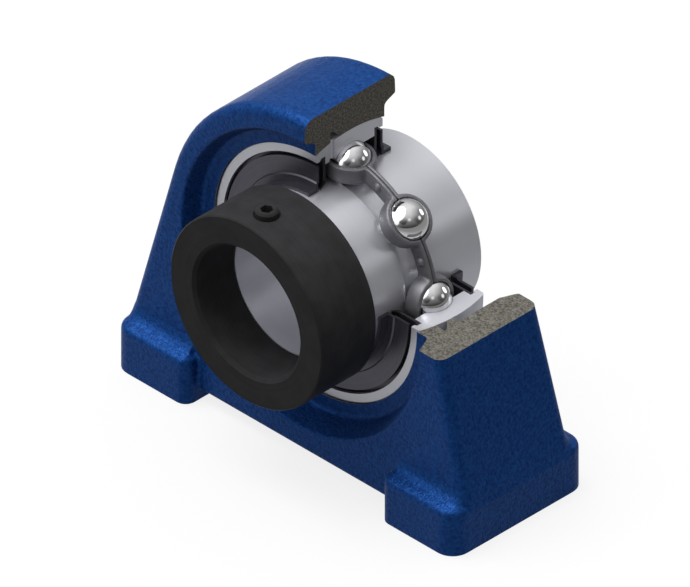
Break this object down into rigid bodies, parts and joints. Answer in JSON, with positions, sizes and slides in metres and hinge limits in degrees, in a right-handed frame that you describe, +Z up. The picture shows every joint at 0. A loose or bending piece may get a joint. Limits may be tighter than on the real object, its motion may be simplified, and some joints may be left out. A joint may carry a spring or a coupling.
{
  "type": "pillow block bearing unit",
  "caption": "Cutaway pillow block with tapped feet: cast housing, spherical insert ball bearing in section and an eccentric locking collar.",
  "frame": {"origin": "middle of the base between the two tapped holes, under the bearing's middle plane", "axes": "+Z up, +Y along the shaft away from the locking collar, +X along the base"},
  "size_m": [0.0986, 0.0496, 0.0821],
  "materials": {
    "housing_paint": "satin blue paint over sand cast iron",
    "outer_ring_steel": "ground bearing steel",
    "inner_ring_steel": "ground bearing steel",
    "seal_sheet": "pressed sheet steel",
    "seal_rubber": "moulded rubber lip",
    "flinger_sheet": "pressed sheet steel, dull",
    "cage_sheet": "pressed sheet steel, dark",
    "rivet_steel": "upset wire rivets",
    "collar_black": "black oxide",
    "screw_black": "black oxide",
    "ball_steel": "polished balls"
  },
  "bodies": {
    "housing_body": {"housing": "housing_paint"},
    "outer_ring_body": {"outer_ring": "outer_ring_steel", "front_seal_carrier": "seal_sheet", "rear_seal_carrier": "seal_sheet", "front_seal_lip": "seal_rubber", "rear_seal_lip": "seal_rubber"},
    "inner_ring_body": {"inner_ring": "inner_ring_steel", "front_flinger": "flinger_sheet", "rear_flinger": "flinger_sheet"},
    "cage_body": {"cage_front_half": "cage_sheet", "cage_rear_half": "cage_sheet", "cage_rivets": "rivet_steel"},
    "collar_body": {"locking_collar": "collar_black"},
    "screw_body": {"set_screw": "screw_black"},
    "ball_1_body": {"ball_1": "ball_steel"},
    "ball_2_body": {"ball_2": "ball_steel"},
    "ball_3_body": {"ball_3": "ball_steel"},
    "ball_4_body": {"ball_4": "ball_steel"},
    "ball_5_body": {"ball_5": "ball_steel"},
    "ball_6_body": {"ball_6": "ball_steel"},
    "ball_7_body": {"ball_7": "ball_steel"},
    "ball_8_body": {"ball_8": "ball_steel"}
  },
  "joints": [
    {"name": "bearing_tilt", "type": "hinge", "parent": "housing_body", "child": "outer_ring_body", "pos_m": [0, 0, 0.0429], "axis": [1, 0, 0], "range_deg": [-2.5, 2.5]},
    {"name": "inner_ring_spin", "type": "hinge", "parent": "outer_ring_body", "child": "inner_ring_body", "pos_m": [0, 0, 0.0429], "axis": [0, 1, 0], "continuous": true},
    {"name": "cage_spin", "type": "hinge", "parent": "outer_ring_body", "child": "cage_body", "pos_m": [0, 0, 0.0429], "axis": [0, 1, 0], "continuous": true},
    {"name": "collar_turn", "type": "hinge", "parent": "inner_ring_body", "child": "collar_body", "pos_m": [0, 0, 0.0429], "axis": [0, 1, 0], "range_deg": [-15, 15]},
    {"name": "set_screw_travel", "type": "slide", "parent": "collar_body", "child": "screw_body", "axis": [0, 0, 1], "range_m": [-0.0021, 0.001]},
    {"name": "ball_1_spin", "type": "hinge", "parent": "cage_body", "child": "ball_1_body", "pos_m": [0.023, 0, 0.0429], "axis": [0, 1, 0], "continuous": true},
    {"name": "ball_2_spin", "type": "hinge", "parent": "cage_body", "child": "ball_2_body", "pos_m": [0.01626, 0, 0.05916], "axis": [0, 1, 0], "continuous": true},
    {"name": "ball_3_spin", "type": "hinge", "parent": "cage_body", "child": "ball_3_body", "pos_m": [0, 0, 0.0659], "axis": [0, 1, 0], "continuous": true},
    {"name": "ball_4_spin", "type": "hinge", "parent": "cage_body", "child": "ball_4_body", "pos_m": [-0.01626, 0, 0.05916], "axis": [0, 1, 0], "continuous": true},
    {"name": "ball_5_spin", "type": "hinge", "parent": "cage_body", "child": "ball_5_body", "pos_m": [-0.023, 0, 0.0429], "axis": [0, 1, 0], "continuous": true},
    {"name": "ball_6_spin", "type": "hinge", "parent": "cage_body", "child": "ball_6_body", "pos_m": [-0.01626, 0, 0.02664], "axis": [0, 1, 0], "continuous": true},
    {"name": "ball_7_spin", "type": "hinge", "parent": "cage_body", "child": "ball_7_body", "pos_m": [0, 0, 0.0199], "axis": [0, 1, 0], "continuous": true},
    {"name": "ball_8_spin", "type": "hinge", "parent": "cage_body", "child": "ball_8_body", "pos_m": [0.01626, 0, 0.02664], "axis": [0, 1, 0], "continuous": true}
  ],
  "couplings": [
    {"joint": "cage_spin", "follows": "inner_ring_spin", "ratio": 0.39647},
    {"joint": "ball_1_spin", "follows": "inner_ring_spin", "ratio": -2.3112},
    {"joint": "ball_2_spin", "follows": "inner_ring_spin", "ratio": -2.3112},
    {"joint": "ball_3_spin", "follows": "inner_ring_spin", "ratio": -2.3112},
    {"joint": "ball_4_spin", "follows": "inner_ring_spin", "ratio": -2.3112},
    {"joint": "ball_5_spin", "follows": "inner_ring_spin", "ratio": -2.3112},
    {"joint": "ball_6_spin", "follows": "inner_ring_spin", "ratio": -2.3112},
    {"joint": "ball_7_spin", "follows": "inner_ring_spin", "ratio": -2.3112},
    {"joint": "ball_8_spin", "follows": "inner_ring_spin", "ratio": -2.3112}
  ]
}
